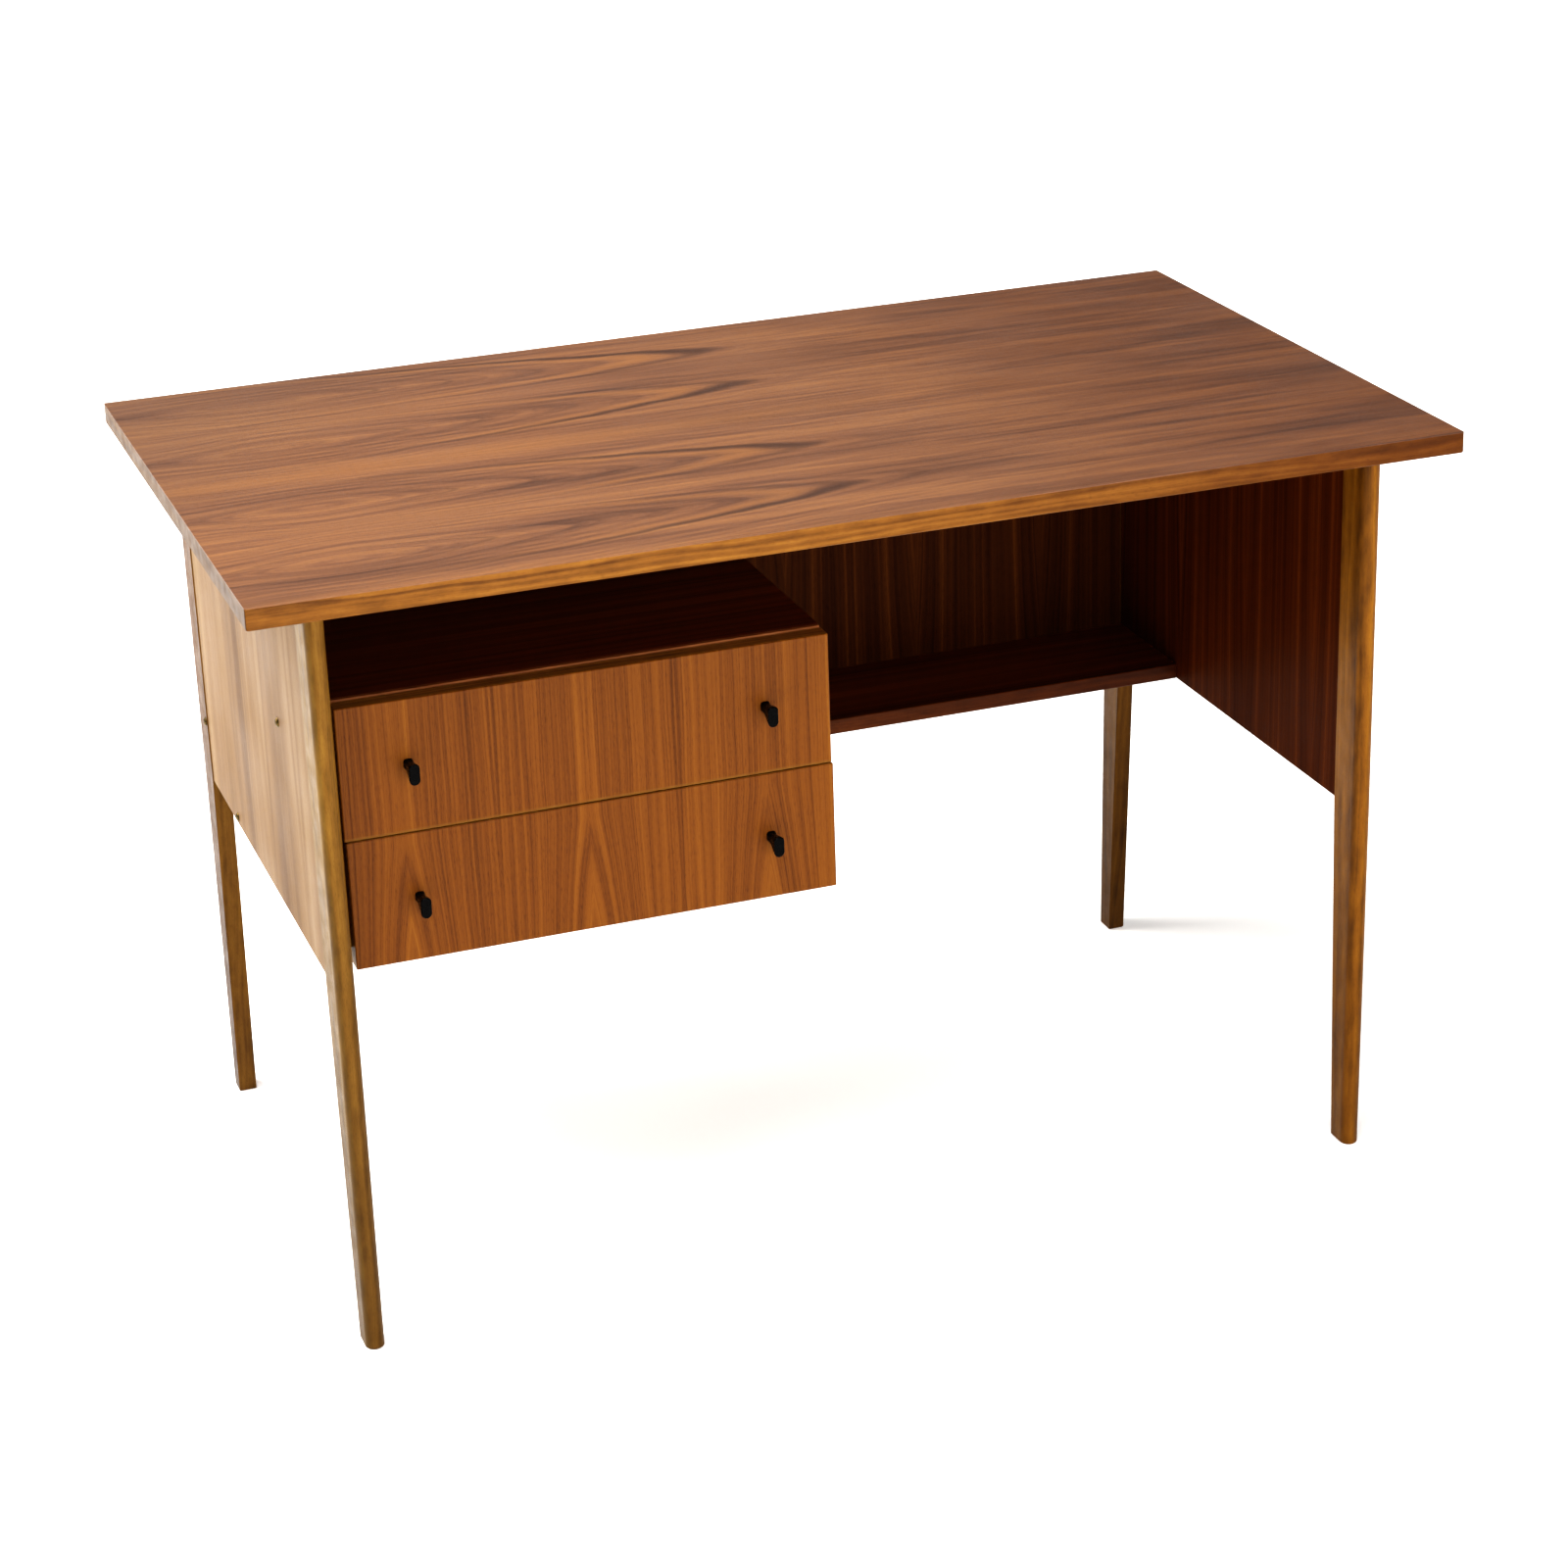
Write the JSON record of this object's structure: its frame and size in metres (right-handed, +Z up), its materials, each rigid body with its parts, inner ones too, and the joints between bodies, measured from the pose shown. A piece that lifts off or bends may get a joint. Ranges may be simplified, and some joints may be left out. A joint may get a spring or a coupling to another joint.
{
  "type": "writing desk with drawers",
  "caption": "Writing desk with a veneered top on two side frames with tapered legs, a hung drawer unit on the left, a knee space, a back panel and a low rear shelf.",
  "frame": {"origin": "on the floor, under the centre of the tabletop", "axes": "+X to the right along the tabletop's length as the sitter sees it, +Y from the drawer fronts towards the back panel, +Z up"},
  "size_m": [1.14, 0.66, 0.75],
  "materials": {
    "top_veneer": "satin lacquered dark brown veneer, grain along X, flame figure near the middle",
    "panel_veneer": "satin lacquered dark brown veneer, grain vertical on upright boards and along X on level ones",
    "front_veneer": "satin lacquered reddish brown veneer, straight vertical grain",
    "edge_lipping": "satin lacquered honey brown solid edge strip",
    "leg_wood": "satin stained hardwood, grain along the leg",
    "drawer_wood": "clear lacquered pale hardwood",
    "hardwood": "plain pale hardwood",
    "plywood": "thin pale plywood",
    "knob_plastic": "black, semi-gloss",
    "aged_brass": "darkened with age",
    "screw_steel": "plain zinc-plated"
  },
  "bodies": {
    "desk": {"back_batten": "hardwood", "back_panel": "panel_veneer", "batten_screws": "screw_steel", "left_batten": "hardwood", "left_front_leg": "leg_wood", "left_rear_leg": "leg_wood", "left_side_panel": "panel_veneer", "leg_dowels": "hardwood", "lower_left_runner": "hardwood", "lower_right_runner": "hardwood", "right_batten": "hardwood", "right_front_leg": "leg_wood", "right_rear_leg": "leg_wood", "right_side_panel": "panel_veneer", "runner_screws": "screw_steel", "shelf": "panel_veneer", "shelf_dowels": "hardwood", "shelf_lipping": "edge_lipping", "side_screws": "aged_brass", "tabletop_back_lipping": "edge_lipping", "tabletop_core": "panel_veneer", "tabletop_front_lipping": "edge_lipping", "tabletop_left_lipping": "edge_lipping", "tabletop_right_lipping": "edge_lipping", "tabletop_veneer": "top_veneer", "unit_back": "plywood", "unit_bottom": "panel_veneer", "unit_dowels": "hardwood", "unit_left_side": "panel_veneer", "unit_right_side": "panel_veneer", "unit_top": "panel_veneer", "unit_top_lipping": "edge_lipping", "upper_left_runner": "hardwood", "upper_right_runner": "hardwood"},
    "upper_drawer": {"upper_drawer_back": "drawer_wood", "upper_drawer_dowels": "hardwood", "upper_drawer_floor": "plywood", "upper_drawer_front": "front_veneer", "upper_drawer_front_lippings": "edge_lipping", "upper_drawer_knob_screws": "screw_steel", "upper_drawer_left_knob": "knob_plastic", "upper_drawer_left_side": "drawer_wood", "upper_drawer_right_knob": "knob_plastic", "upper_drawer_right_side": "drawer_wood"},
    "lower_drawer": {"lower_drawer_back": "drawer_wood", "lower_drawer_dowels": "hardwood", "lower_drawer_floor": "plywood", "lower_drawer_front": "front_veneer", "lower_drawer_front_lippings": "edge_lipping", "lower_drawer_knob_screws": "screw_steel", "lower_drawer_left_knob": "knob_plastic", "lower_drawer_left_side": "drawer_wood", "lower_drawer_right_knob": "knob_plastic", "lower_drawer_right_side": "drawer_wood"}
  },
  "joints": [
    {"name": "upper_drawer_slide", "type": "slide", "parent": "desk", "child": "upper_drawer", "axis": [0, -1, 0], "range_m": [0, 0.32]},
    {"name": "lower_drawer_slide", "type": "slide", "parent": "desk", "child": "lower_drawer", "axis": [0, -1, 0], "range_m": [0, 0.32]}
  ]
}
